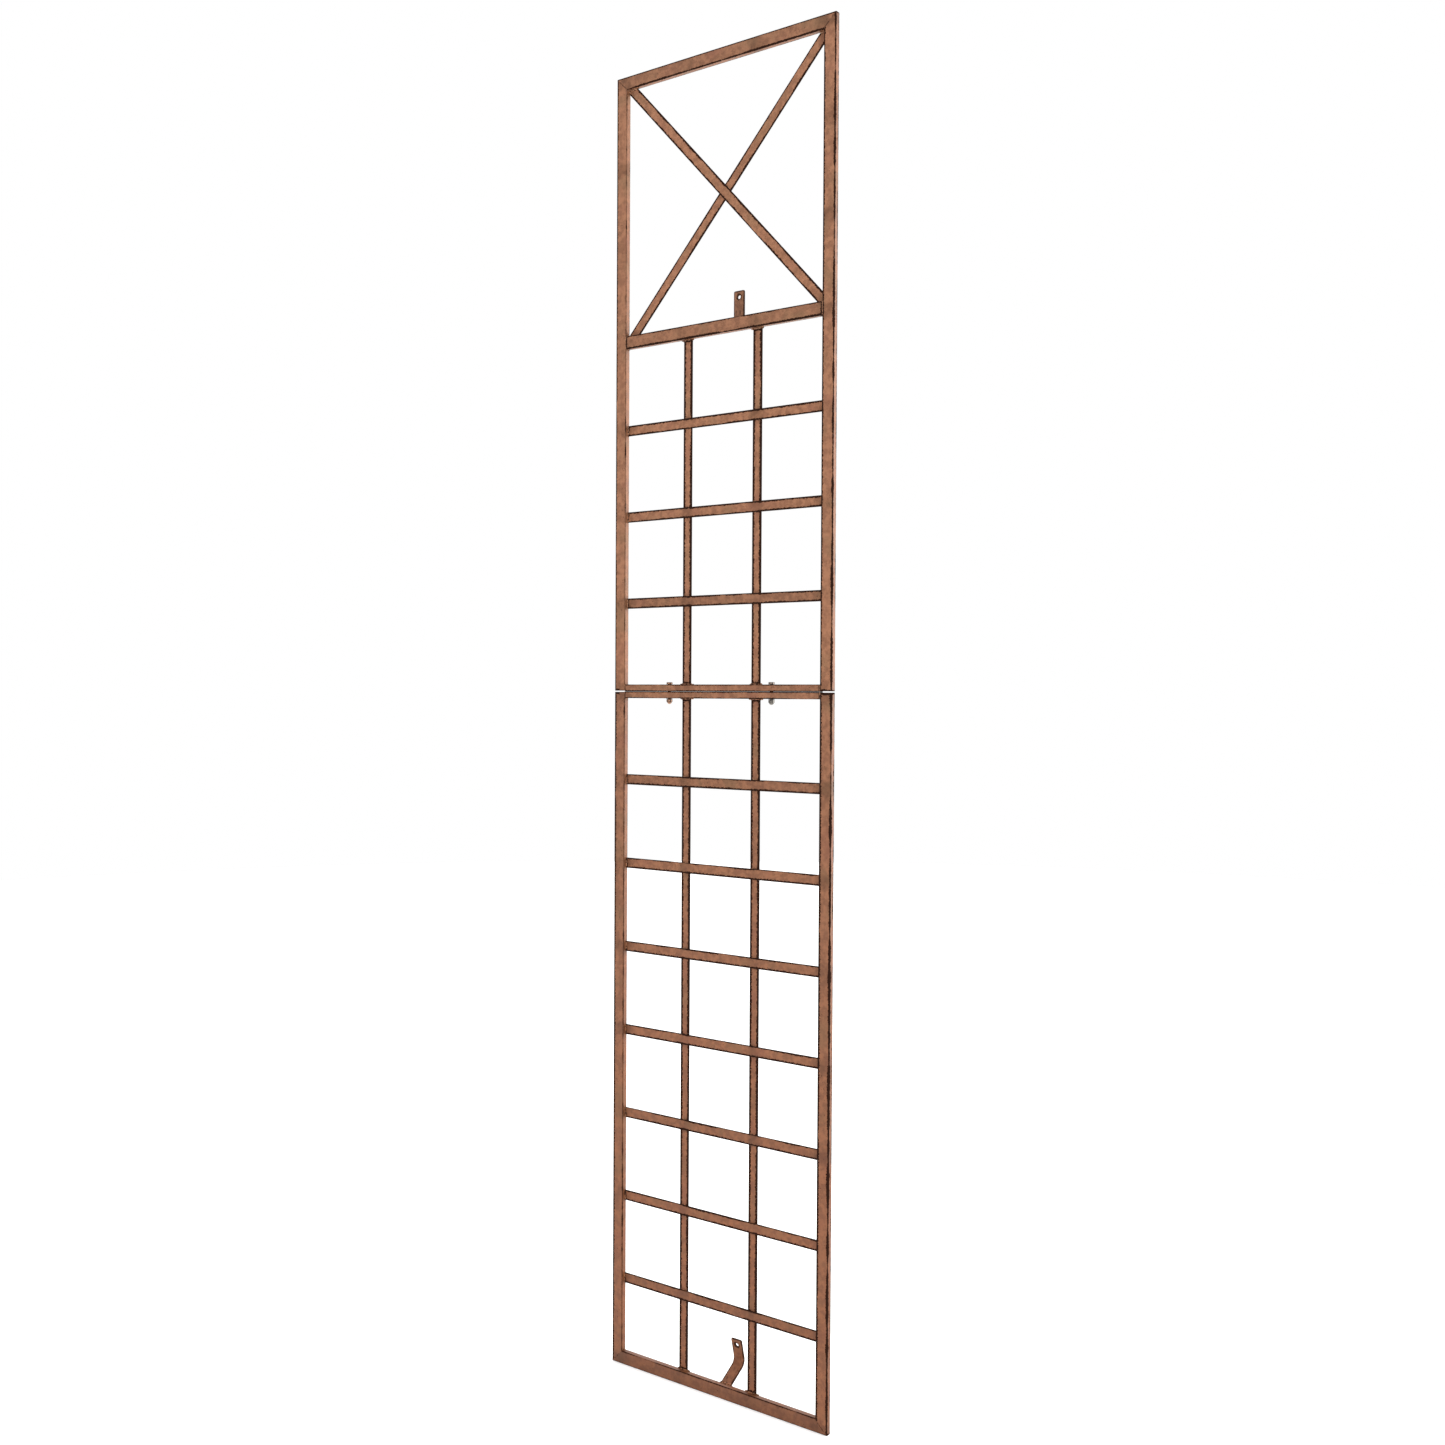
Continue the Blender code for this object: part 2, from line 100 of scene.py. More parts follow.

# ---------------------------------------------------------------- how dark each piece is and how wide its dark edge lines are
# A bias says how readily the dark edge line breaks through, which is patina and partly painted shade of the
# rounded edges: on every edge, more on the left, more on the top. The width numbers give the width of those
# dark lines, beside 1 for a plain tube. A tone is how bright the paint is.
BAR_BIAS = (0.13, 0, 0)
BAR_DARK_EDGE_WIDTH = 0.92
SLAT_TONES = {"lower": (0.82, 0.90, 0.86, 0.91, 0.83, 0.88, 0.78), "upper": (0.99, 0.95, 0.81)}
SLAT_LEAN_LEAST = -0.12                    # the low slats' dark edge line (patina and painted shade) sits more on their lower edge
SLAT_LEAN_RISE = 0.3                       # added for each metre of height
SLAT_LEAN_LEVEL = 1.5                      # height at which both edges are worn alike
UPRIGHT_BIAS = (0.25, 0.05, 0)
UPRIGHT_DARK_EDGE_WIDTH = 1.2
STILE_BIAS = {"left": (0.03, 0.19, 0), "right": (0.13, 0.12, 0)}
STILE_DARK_EDGE_WIDTH = {"lower": 1.25, "upper": 1.0}
STILE_TONE = {"lower": 0.87, "upper": 0.98}
STRAP_TONE = 0.80
WELD_TONE = 0.95
BRACKET_WELD_TONE = 1.05
RAIL_LOOKS = (                             # rail, bias, dark edge width, tone
    ("upper_top_rail", (0.17, 0, 0.07), 0.74, 0.86),
    ("lower_bottom_rail", (0.16, 0, 0.0), 0.42, 0.68),
    ("upper_mid_rail", (0.12, 0, -0.04), 0.84, 0.88),
    ("upper_joint_rail", (0.10, 0, -0.04), 0.56, 0.88),
    ("lower_joint_rail", (0.10, 0, 0.02), 0.56, 0.90),
)

# ---------------------------------------------------------------- weld bead shape
BEAD_SIDES = 10
BEAD_STEP = 0.55 * MM
RIPPLE_PITCH = 1.7 * MM
RIPPLE_DEPTH = 0.10
LUMP_DEPTH = 0.42
LUMP_SCALE = 190.0
GRAIN_DEPTH = 0.22
GRAIN_SCALE = 900.0
SNUG = 0.3 * MM                            # the gap between pieces, which a bead bridges
BIG_CORNER = 2.7                           # millimetres, the lump inside the upper left corner

# ---------------------------------------------------------------- M6 fasteners
TURN_STEPS = 48
BOLT_HEAD_HEIGHT = 4 * MM
BOLT_TOP_DISH = 0.12 * MM
THREAD_PITCH = 1.0 * MM
THREAD_DEPTH = 0.45 * MM
THREAD_LENGTH = 22 * MM
THREAD_STEPS = 8                           # rings to one turn of the thread
SHANK_RADIUS = 2.98 * MM
NUT_BORE = 3.3 * MM
NUT_BORE_DEPTH = 7.0 * MM
NUT_HEX_HEIGHT = 5.0 * MM
NUT_DOME_RADIUS = 4.75 * MM
WASHER_EDGE = 0.22 * MM
HEX_CORNER = 5.05 * MM                     # from here outwards a hexagon's corners are rubbed
CHAMFER = math.pi / 6
CHAMFER_FACE = 0.95                        # of the hexagon's half width, where its chamfer starts

# ---------------------------------------------------------------- camera, light and floor
LENS_MM = 37.22
SENSOR_MM = 36.0
CAMERA_PLACE = (1.658, -2.221, 1.309)
CAMERA_ANGLES = (36.61, -1.04, 0.305)      # yaw, pitch and roll in degrees
KEY_WATTS = 90
SIDE_WATTS = 62
SKY_FRONT, SKY_BACK, SKY_TOP = 0.78, 1.75, 0.30
FLOOR_RADIUS = 9.0
FLOOR_GLOW = 0.22


class Graph:
    """Adds nodes to a tree and joins them, so that a material reads as a list of steps."""

    def __init__(self, tree):
        self.tree = tree

    def add(self, kind, inputs=(), **settings):
        node = self.tree.nodes.new(kind)
        for name, value in settings.items():
            setattr(node, name, value)
        for socket, value in dict(inputs).items():
            self.feed(node.inputs[socket], value)
        return node

    def feed(self, socket, value):
        if isinstance(value, bpy.types.NodeSocket):
            self.tree.links.new(value, socket)
        else:
            socket.default_value = value

    def maths(self, operation, *values):
        return self.add("ShaderNodeMath", enumerate(values), operation=operation).outputs[0]

    def vector(self, operation, *values):
        return self.add("ShaderNodeVectorMath", enumerate(values), operation=operation).outputs[0]

    def split(self, vector):
        return self.add("ShaderNodeSeparateXYZ", {"Vector": vector}).outputs

    def join(self, x, y, z):
        return self.add("ShaderNodeCombineXYZ", {"X": x, "Y": y, "Z": z}).outputs[0]

    def noise(self, place, scale, detail=2.0, roughness=0.5):
        inputs = {"Vector": place, "Scale": scale, "Detail": detail, "Roughness": roughness}
        return self.add("ShaderNodeTexNoise", inputs).outputs["Fac"]

    def smooth(self, value, low, high, to_low=0.0, to_high=1.0):
        inputs = {"Value": value, "From Min": low, "From Max": high, "To Min": to_low, "To Max": to_high}
        return self.add("ShaderNodeMapRange", inputs, interpolation_type="SMOOTHSTEP").outputs[0]

    def blend(self, share, first, second, how="MIX"):
        inputs = {"Fac": share, "Color1": first, "Color2": second}
        return self.add("ShaderNodeMixRGB", inputs, blend_type=how).outputs[0]

    def piece_value(self, name, output):
        """A value that each piece keeps as a property of its own, so that pieces can share a material."""
        node = self.add("ShaderNodeAttribute", attribute_type="OBJECT", attribute_name=name)
        return node.outputs[output]

    def noise_at(self, place, scale, offset, **settings):
        return self.noise(self.vector("ADD", place, offset), scale, **settings)


def arris_place(graph, place):
    """Distance from the piece's nearest long edge, and the signs that tell its edges apart."""
    local = graph.vector("SUBTRACT", place, graph.piece_value("piece_middle", "Vector"))
    turn = graph.piece_value("piece_turn", "Fac")
    rotated = graph.add("ShaderNodeVectorRotate", {"Vector": local, "Angle": turn}, rotation_type="Y_AXIS")
    turned = rotated.outputs[0]
    half = graph.piece_value("piece_half", "Vector")
    inset = graph.vector("SUBTRACT", half, graph.vector("ABSOLUTE", turned))
    x, y, z = graph.split(graph.vector("MAXIMUM", inset, (0.0, 0.0, 0.0)))
    total = graph.maths("ADD", graph.maths("ADD", x, y), z)
    most = graph.maths("MAXIMUM", graph.maths("MAXIMUM", x, y), z)
    least = graph.maths("MINIMUM", graph.maths("MINIMUM", x, y), z)
    middle_value = graph.maths("SUBTRACT", graph.maths("SUBTRACT", total, most), least)
    return middle_value, graph.vector("SIGN", turned)


def patina_and_shade_line(graph, place):
    """1 along an edge where the copper was brushed off and the dark base coat shows; the line also stands in
    for painted shade of the rounded edges.
    """
    distance, edge_signs = arris_place(graph, place)
    sign_x, _, sign_z = graph.split(edge_signs)
    base, leftward, upward = graph.split(graph.piece_value("patina_and_shade_bias", "Vector"))
    sideways = graph.maths("SUBTRACT", base, graph.maths("MULTIPLY", sign_x, leftward))
    bias = graph.maths("ADD", sideways, graph.maths("MULTIPLY", sign_z, upward))
    own_edge = graph.vector("ADD", place, graph.vector("MULTIPLY", edge_signs, (3.1, 5.3, 7.7)))
    breaks = graph.maths("ADD", graph.noise(own_edge, 16.0, detail=3.0, roughness=0.6), bias)
    ragged = graph.noise(own_edge, 330.0, detail=2.0)
    width = graph.smooth(breaks, 0.34, 0.74, 1.3 * MM, 3.9 * MM)
    width = graph.maths("MULTIPLY", width, graph.smooth(ragged, 0.25, 0.75, 0.72, 1.28))
    width = graph.maths("MULTIPLY", width, graph.piece_value("patina_and_shade_width", "Fac"))
    inner = graph.maths("SUBTRACT", width, 0.35 * MM)
    outer = graph.maths("ADD", width, 0.35 * MM)
    line = graph.smooth(distance, inner, outer, 1.0, 0.0)
    strength = graph.smooth(breaks, 0.28, 0.48, 0.5, 1.0)
    return graph.maths("MULTIPLY", line, strength)


def mitre_line(graph, place):
    """1 in dark broken spots along the cut between a stile and a full-width rail."""
    x, _, z = graph.split(place)
    from_side = graph.maths("SUBTRACT", FRAME_HALF_WIDTH, graph.maths("ABSOLUTE", x))
    from_end = graph.maths("ABSOLUTE", graph.maths("SUBTRACT", z, graph.piece_value("mitre_height", "Fac")))
    gap = graph.maths("ABSOLUTE", graph.maths("SUBTRACT", from_side, from_end))
    line = graph.smooth(gap, 0.9 * MM, 1.9 * MM, 1.0, 0.0)
    return graph.maths("MULTIPLY", line, graph.smooth(graph.noise(place, 210.0), 0.44, 0.56, 0.05, 0.8))


def weld_heat(graph, place):
    """1 close to the welds along the piece, which sit at even steps from the first one."""
    x, _, z = graph.split(place)
    level, start, step = graph.split(graph.piece_value("weld_row", "Vector"))
    along_level = graph.maths("MULTIPLY", graph.maths("ABSOLUTE", x), level)
    along = graph.maths("ADD", along_level, graph.maths("MULTIPLY", z, graph.maths("SUBTRACT", 1.0, level)))
    turns = graph.maths("DIVIDE", graph.maths("SUBTRACT", along, start), step)
    off = graph.maths("ABSOLUTE", graph.maths("SUBTRACT", turns, graph.maths("ROUND", turns)))
    distance = graph.maths("MULTIPLY", off, step)
    wander = graph.maths("MULTIPLY", graph.maths("SUBTRACT", graph.noise(place, 85.0), 0.5), 26 * MM)
    near = graph.smooth(graph.maths("ADD", distance, wander), 5 * MM, 21 * MM, 1.0, 0.0)
    return graph.maths("MULTIPLY", near, graph.smooth(graph.noise(place, 5.0), 0.35, 0.62, 0.15, 0.75))


def specks(graph, place):
    """1 in small dark specks and in a few smudges."""
    crowd = graph.smooth(graph.noise_at(place, 11.0, (9.0, 2.0, 4.0)), 0.45, 0.68, 0.0, 1.0)
    threshold = graph.maths("SUBTRACT", 0.755, graph.maths("MULTIPLY", crowd, 0.085))
    fine = graph.noise(place, 430.0, detail=1.0)
    limit = graph.maths("ADD", threshold, 0.05)
    return graph.maths("MULTIPLY", graph.smooth(fine, threshold, limit), 0.75)


def copper_colour(graph, place):
    """The top coat: mottled copper that drifts between olive and red, and is darker towards the ground."""
    mottle = graph.noise(place, 95.0, detail=4.0, roughness=0.62)
    colour = graph.blend(graph.smooth(mottle, 0.36, 0.64), COPPER_DARK, COPPER_LIGHT)
    drift = graph.noise_at(place, 19.0, (1.0, 6.0, 3.0), detail=2.0)
    colour = graph.blend(graph.smooth(drift, 0.52, 0.72, 0.0, 0.55), colour, COPPER_OLIVE)
    colour = graph.blend(graph.smooth(drift, 0.46, 0.28, 0.0, 0.50), colour, COPPER_RED)
    _, _, height = graph.split(place)
    dull = graph.blend(1.0, colour, LOW_DARKENING, "MULTIPLY")
    colour = graph.blend(graph.smooth(height, 0.0, LOW_DARKENING_TOP, 1.0, 0.0), colour, dull)
    tone = graph.piece_value("paint_tone", "Fac")
    return graph.blend(1.0, colour, graph.join(tone, tone, tone), "MULTIPLY"), mottle


def finish_paint(graph, shader, colour, rough, height, dark=0.0):
    """Last steps of every painted material: a satin top coat over orange peel, matt where it is dark."""
    painted = graph.maths("SUBTRACT", 1.0, dark)
    graph.feed(shader.inputs["Base Color"], colour)
    graph.feed(shader.inputs["Roughness"], rough)
    graph.feed(shader.inputs["Metallic"], graph.maths("MULTIPLY", painted, 0.10))
    graph.feed(shader.inputs["Specular IOR Level"], graph.maths("MULTIPLY", painted, 0.22))
    graph.feed(shader.inputs["Coat Weight"], graph.maths("MULTIPLY", painted, 0.13))
    graph.feed(shader.inputs["Coat Roughness"], 0.30)
    bump = graph.add("ShaderNodeBump", {"Height": height, "Strength": 0.55, "Distance": 0.25 * MM})
    graph.feed(shader.inputs["Normal"], bump.outputs[0])


def new_material(name):
    material = bpy.data.materials.new(name)
    material.use_nodes = True
    graph = Graph(material.node_tree)
    place = graph.add("ShaderNodeTexCoord").outputs["Object"]
    return material, graph, place, material.node_tree.nodes["Principled BSDF"]


def frame_paint(name):
    """Copper paint of the tubes, bars and straps, dark along their edges (patina, partly painted shade) and
    near their welds.
    """
    material, graph, place, shader = new_material(name)
    colour, mottle = copper_colour(graph, place)
    heat = weld_heat(graph, place)
    colour = graph.blend(heat, colour, graph.blend(1.0, colour, SCORCHED, "MULTIPLY"))
    # dark edge lines: patina and partly painted shade of the rounded edges, with specks and mitre spots
    dark = graph.maths("MAXIMUM", patina_and_shade_line(graph, place), specks(graph, place))
    dark = graph.maths("MAXIMUM", dark, mitre_line(graph, place))
    colour = graph.blend(dark, colour, PATINA_AND_SHADE)
    rough = graph.smooth(mottle, 0.3, 0.7, 0.40, 0.54)
    rough = graph.maths("ADD", rough, graph.maths("MULTIPLY", dark, 0.18))
    peel = graph.maths("MULTIPLY", graph.noise(place, 700.0, detail=2.0), 0.6)
    height = graph.maths("SUBTRACT", graph.maths("ADD", peel, mottle), dark)
    finish_paint(graph, shader, colour, rough, height, dark)
    return material


def strap_paint(name):
    """The wall straps: darker paint, dark along both sides, at the tab's end and round its hole; these dark
    lines are worn-through base coat and partly painted shade of the edges and of the hole's bore.
    """
    material, graph, place, shader = new_material(name)
    colour, mottle = copper_colour(graph, place)
    x, _, z = graph.split(graph.vector("SUBTRACT", place, graph.piece_value("piece_middle", "Vector")))
    half_x, _, half_z = graph.split(graph.piece_value("piece_half", "Vector"))
    from_side = graph.maths("SUBTRACT", half_x, graph.maths("ABSOLUTE", x))
    from_top = graph.maths("SUBTRACT", half_z, z)
    hole = graph.vector("SUBTRACT", place, graph.piece_value("hole_middle", "Vector"))
    around = graph.add("ShaderNodeVectorMath", {0: hole}, operation="LENGTH").outputs["Value"]
    from_hole = graph.maths("SUBTRACT", around, graph.piece_value("hole_radius", "Fac"))
    nearest = graph.maths("MINIMUM", from_side, from_top)
    nearest = graph.maths("MINIMUM", nearest, graph.maths("MULTIPLY", from_hole, 0.8))
    width = graph.smooth(graph.noise(place, 120.0, detail=3.0), 0.35, 0.65, 1.2 * MM, 2.8 * MM)
    inner = graph.maths("SUBTRACT", width, 0.4 * MM)
    outer = graph.maths("ADD", width, 0.4 * MM)
    # dark edge and hole ring: patina and partly painted shade of the edges and the hole's bore
    edge = graph.smooth(nearest, inner, outer, 0.9, 0.0)
    streak = graph.noise(graph.vector("MULTIPLY", place, (2.2, 1.0, 0.5)), 160.0, detail=3.0)
    rubbed = graph.smooth(streak, 0.55, 0.72, 0.0, 0.55)
    dark = graph.maths("MAXIMUM", graph.maths("MAXIMUM", edge, rubbed), specks(graph, place))
    colour = graph.blend(dark, colour, PATINA_AND_SHADE)
    rough = graph.smooth(mottle, 0.3, 0.7, 0.40, 0.55)
    finish_paint(graph, shader, colour, rough, graph.maths("SUBTRACT", mottle, dark), dark)
    return material


def weld_paint(name):
    """The same paint over weld beads: dark between the ripples, light on the crowns."""
    material, graph, place, shader = new_material(name)
    colour, mottle = copper_colour(graph, place)
    ripple = graph.noise(place, 520.0, detail=2.0)
    colour = graph.blend(graph.smooth(ripple, 0.52, 0.66, 0.0, 0.55), colour, WELD_LIGHT)
    dark = graph.smooth(graph.noise_at(place, 260.0, (4.0, 4.0, 1.0)), 0.49, 0.60, 0.0, 0.9)
    colour = graph.blend(dark, colour, PATINA_AND_SHADE)
    rough = graph.smooth(ripple, 0.3, 0.7, 0.38, 0.6)
    finish_paint(graph, shader, colour, rough, graph.maths("ADD", ripple, mottle), dark)
    return material


def seam_paint_and_shade(name):
    """Dark paint and dirt between the two joint rails, which also stands in for the painted shade of the
    groove between them.
    """
    material, graph, place, shader = new_material(name)
    drift = graph.smooth(graph.noise(place, 60.0, detail=3.0), 0.54, 0.68)
    colour = graph.blend(graph.maths("MULTIPLY", drift, 0.25), PATINA_AND_SHADE, COPPER_DARK)
    height = graph.noise(place, 800.0)
    finish_paint(graph, shader, colour, graph.smooth(height, 0.3, 0.7, 0.55, 0.8), height, 0.85)
    return material


def turned_edge(graph, place):
    """1 on a hexagon's outer corners and at its two rims, where the finish is rubbed or grimy."""
    local = graph.vector("SUBTRACT", place, graph.piece_value("piece_middle", "Vector"))
    x, y, _ = graph.split(local)
    square = graph.maths("ADD", graph.maths("MULTIPLY", x, x), graph.maths("MULTIPLY", y, y))
    around = graph.maths("SQRT", square)
    corner = graph.smooth(around, HEX_CORNER, HEX_CORNER + 0.3 * MM, 0.0, 0.9)
    _, _, height = graph.split(place)
    low, high = (graph.piece_value(name, "Fac") for name in ("rim_low", "rim_high"))
    from_low = graph.maths("ABSOLUTE", graph.maths("SUBTRACT", height, low))
    from_high = graph.maths("ABSOLUTE", graph.maths("SUBTRACT", height, high))
    from_rim = graph.maths("MINIMUM", from_low, from_high)
    ragged = graph.smooth(graph.noise(place, 500.0), 0.3, 0.7, 0.35 * MM, 1.0 * MM)
    rim = graph.smooth(graph.maths("SUBTRACT", from_rim, ragged), 0.0, 0.25 * MM, 0.8, 0.0)
    return graph.maths("MAXIMUM", corner, rim)


def painted_fastener(name):
    """Copper paint over a bolt, washer or nut, rubbed dark in patches."""
    material, graph, place, shader = new_material(name)
    colour, mottle = copper_colour(graph, place)
    colour = graph.blend(0.40, colour, COPPER_RUBBED)
    rubbed = graph.smooth(graph.noise(place, 340.0, detail=3.0), 0.53, 0.64, 0.0, 0.85)
    rubbed = graph.maths("MAXIMUM", rubbed, turned_edge(graph, place))
    colour = graph.blend(rubbed, colour, PATINA_AND_SHADE)
    rough = graph.smooth(mottle, 0.3, 0.7, 0.34, 0.5)
    finish_paint(graph, shader, colour, rough, graph.maths("SUBTRACT", mottle, rubbed), rubbed)
    return material


def zinc_fastener(name):
    """Dull zinc with dark grime in patches and a thin mist of copper paint from above."""
    material, graph, place, shader = new_material(name)
    cloud = graph.noise(place, 260.0, detail=4.0, roughness=0.65)
    colour = graph.blend(graph.smooth(cloud, 0.40, 0.62), ZINC_DULL, ZINC)
    _, _, height = graph.split(place)
    rail_low, rail_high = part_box("upper_joint_rail")
    above = graph.smooth(height, rail_low.z, rail_high.z)
    mist = graph.maths("MULTIPLY", graph.smooth(graph.noise(place, 420.0), 0.38, 0.60), 0.7)
    colour = graph.blend(graph.maths("MULTIPLY", mist, above), colour, COPPER_LIGHT)
    grime = graph.smooth(graph.noise_at(place, 350.0, (2.0, 8.0, 5.0), detail=3.0), 0.53, 0.64, 0.0, 0.9)
    grime = graph.maths("MAXIMUM", grime, turned_edge(graph, place))
    colour = graph.blend(grime, colour, GRIME)
    graph.feed(shader.inputs["Base Color"], colour)
    graph.feed(shader.inputs["Metallic"], graph.maths("SUBTRACT", 0.85, graph.maths("MULTIPLY", grime, 0.6)))
    graph.feed(shader.inputs["Roughness"], graph.smooth(cloud, 0.3, 0.7, 0.30, 0.52))
    bump = graph.add("ShaderNodeBump", {"Height": cloud, "Strength": 0.3, "Distance": 0.1 * MM})
    graph.feed(shader.inputs["Normal"], bump.outputs[0])
    return material


# ---------------------------------------------------------------- the frame's own pieces
def smooth_rounds_group():
    """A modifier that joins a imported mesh's triangles and shades its rounded edges smoothly."""
    group = bpy.data.node_groups.new("smooth_rounds", "GeometryNodeTree")
    group.interface.new_socket("Geometry", in_out="INPUT", socket_type="NodeSocketGeometry")
    group.interface.new_socket("Geometry", in_out="OUTPUT", socket_type="NodeSocketGeometry")
    graph = Graph(group)
    start = graph.add("NodeGroupInput").outputs[0]
    no_normals = graph.add("GeometryNodeRemoveAttribute", {"Geometry": start, "Name": "custom_normal"})
    welded = {"Geometry": no_normals.outputs[0], "Distance": 0.01 * MM}
    joined = graph.add("GeometryNodeMergeByDistance", welded)
    all_faces = {"Geometry": joined.outputs[0], "Shade Smooth": True}
    rounded = graph.add("GeometryNodeSetShadeSmooth", all_faces)
    angle = graph.add("GeometryNodeInputMeshEdgeAngle").outputs["Unsigned Angle"]
    soft = graph.add("FunctionNodeCompare", {"A": angle, "B": math.radians(36)}, operation="LESS_THAN")
    soft_edges = {"Geometry": rounded.outputs[0], "Shade Smooth": soft.outputs[0]}
    edges = graph.add("GeometryNodeSetShadeSmooth", soft_edges, domain="EDGE")
    graph.add("NodeGroupOutput", {"Geometry": edges.outputs[0]})
    return group


def smooth_rounds(piece):
    piece.modifiers.new("smooth_rounds", "NODES").node_group = SMOOTH_ROUNDS
    weighted = piece.modifiers.new("flat_faces_stay_flat", "WEIGHTED_NORMAL")
    weighted.keep_sharp = True


def dress(node, material, place=None, bias=(0.12, 0, 0), dark_edge_width=1.0, tone=1.0, mitre=-100.0,
          weld_row=(1, 0.08, 0.1447)):
    """Gives a CAD node its paint and the values by which the paint finds the node's edges and welds.

    The place is a sloping bar's middle, half sizes and turn, and is read from the node's box if it has none.
    """
    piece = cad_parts[node]
    low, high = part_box(node)
    middle, half, turn = place or ((low + high) / 2, (high - low) / 2, 0.0)
    piece["piece_middle"] = list(middle)
    piece["piece_half"] = list(half)
    piece["piece_turn"] = float(turn)
    piece["patina_and_shade_bias"] = [float(value) for value in bias]
    piece["patina_and_shade_width"] = float(dark_edge_width)
    piece["paint_tone"] = float(tone)
    piece["mitre_height"] = float(mitre)
    piece["weld_row"] = [float(value) for value in weld_row]
    piece.data.materials[0] = material
    smooth_rounds(piece)


def slat_row(panel):
    """A weld row that runs up: 0, the height of the panel's lowest slat, and the step between slats."""
    middles = [sum(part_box(f"{panel}_slat_{i + 1}"), Vector()).z / 2 for i in range(SLAT_COUNT[panel])]
    return 0, min(middles), (max(middles) - min(middles)) / (len(middles) - 1)


def bar_axes(node):
    """A sloping bar's middle, half sizes and turn about Y, from the turn that makes it narrowest."""
    points = [vertex.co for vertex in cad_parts[node].data.vertices]
    low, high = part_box(node)
    rise = math.copysign(1.0, slope_sign(points))
    guess = math.atan2(rise * (high.z - low.z), high.x - low.x)

    def reach(turn, quarter):
        direction = Vector((math.cos(turn + quarter), 0, math.sin(turn + quarter)))
        places = [point.dot(direction) for point in points]
        return min(places), max(places), direction

    def width(turn):
        least, most, _ = reach(turn, math.pi / 2)
        return most - least

    turn = min((guess + step * math.radians(0.02) for step in range(-300, 301)), key=width)
    start, end, along = reach(turn, 0.0)
    left, right, across = reach(turn, math.pi / 2)
    middle = along * (start + end) / 2 + across * (left + right) / 2
    middle.y = (low.y + high.y) / 2
    return middle, Vector(((end - start) / 2, (high.y - low.y) / 2, (right - left) / 2)), turn


def slope_sign(points):
    """Positive for a bar that rises to the right."""
    middle = sum(points, Vector()) / len(points)
    return sum((point.x - middle.x) * (point.z - middle.z) for point in points)


def dress_frame():
    level_row = (1, UPRIGHT_MIDDLE, STILE_INNER - UPRIGHT_MIDDLE)
    for panel in PANELS:
        row = slat_row(panel)
        for side, _ in SIDES:
            dress(f"{panel}_{side}_stile", COPPER, bias=STILE_BIAS[side], dark_edge_width=STILE_DARK_EDGE_WIDTH[panel],
                  tone=STILE_TONE[panel], mitre=MITRE_HEIGHT[panel], weld_row=row)
            dress(f"{panel}_{side}_upright", COPPER, bias=UPRIGHT_BIAS, dark_edge_width=UPRIGHT_DARK_EDGE_WIDTH,
                  tone=STILE_TONE[panel], weld_row=row)
        for index, tone in enumerate(SLAT_TONES[panel]):
            node = f"{panel}_slat_{index + 1}"
            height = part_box(node)[0].z
            lean = max(SLAT_LEAN_LEAST, SLAT_LEAN_RISE * (height - SLAT_LEAN_LEVEL))
            bias = (BAR_BIAS[0], 0, lean)
            dress(node, COPPER, bias=bias, dark_edge_width=BAR_DARK_EDGE_WIDTH, tone=tone, weld_row=level_row)
    mitres = {OUTER_RAIL[panel]: MITRE_HEIGHT[panel] for panel in PANELS}
    for node, bias, dark_edge_width, tone in RAIL_LOOKS:
        dress(node, COPPER, bias=bias, dark_edge_width=dark_edge_width, tone=tone, mitre=mitres.get(node, -100.0),
              weld_row=level_row)
    for node in BRACES:
        dress(node, COPPER, bar_axes(node), BAR_BIAS, BAR_DARK_EDGE_WIDTH, weld_row=(1, 0, STILE_INNER))


def screw_hole(node):
    """Middle and radius of a wall strap's screw hole, from the mesh points round its rim."""
    low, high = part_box(node)
    middle = (low + high) / 2
    reach = (high.x - low.x) * 0.3
    points = [vertex.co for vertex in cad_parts[node].data.vertices]
    rim = [point for point in points if abs(point.x - middle.x) < reach and point.z > middle.z]
    least = Vector([min(point[axis] for point in rim) for axis in range(3)])
    most = Vector([max(point[axis] for point in rim) for axis in range(3)])
    return (least + most) / 2, (most.x - least.x) / 2


def dress_brackets():
    for panel in PANELS:
        node = f"{panel}_wall_bracket"
        dress(node, STRAP, tone=STRAP_TONE)
        hole, radius = screw_hole(node)
        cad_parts[node]["hole_middle"] = list(hole)
        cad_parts[node]["hole_radius"] = radius


COPPER = frame_paint("antique_copper_paint")
STRAP = strap_paint("dark_copper_paint")
WELD = weld_paint("antique_copper_weld")
# dark seam material: dirt and painted shade of the groove between the joint rails
SEAM = seam_paint_and_shade("dark_seam_paint_and_shade")
FASTENER_SLOT = {"left": "copper_painted_fastener", "right": "zinc_plated_fastener"}
FASTENER = {"left": painted_fastener(FASTENER_SLOT["left"]), "right": zinc_fastener(FASTENER_SLOT["right"])}
SMOOTH_ROUNDS = smooth_rounds_group()
dress_frame()
dress_brackets()


# ---------------------------------------------------------------- weld beads
def keep_inside(place, panel):
    """A point moved to just inside the space the panel's welds may fill."""
    floor = cad_low.z if panel == "lower" else JOINT_PLANE
    ceiling = JOINT_PLANE if panel == "lower" else cad_high.z
    x = max(-FRAME_HALF_WIDTH + PROUD_LIMIT, min(FRAME_HALF_WIDTH - PROUD_LIMIT, place.x))
    y = max(TUBE_FRONT + PROUD_LIMIT, place.y)
    z = max(floor + 2 * PROUD_LIMIT, min(ceiling - 2 * PROUD_LIMIT, place.z))
    return Vector((x, y, z))


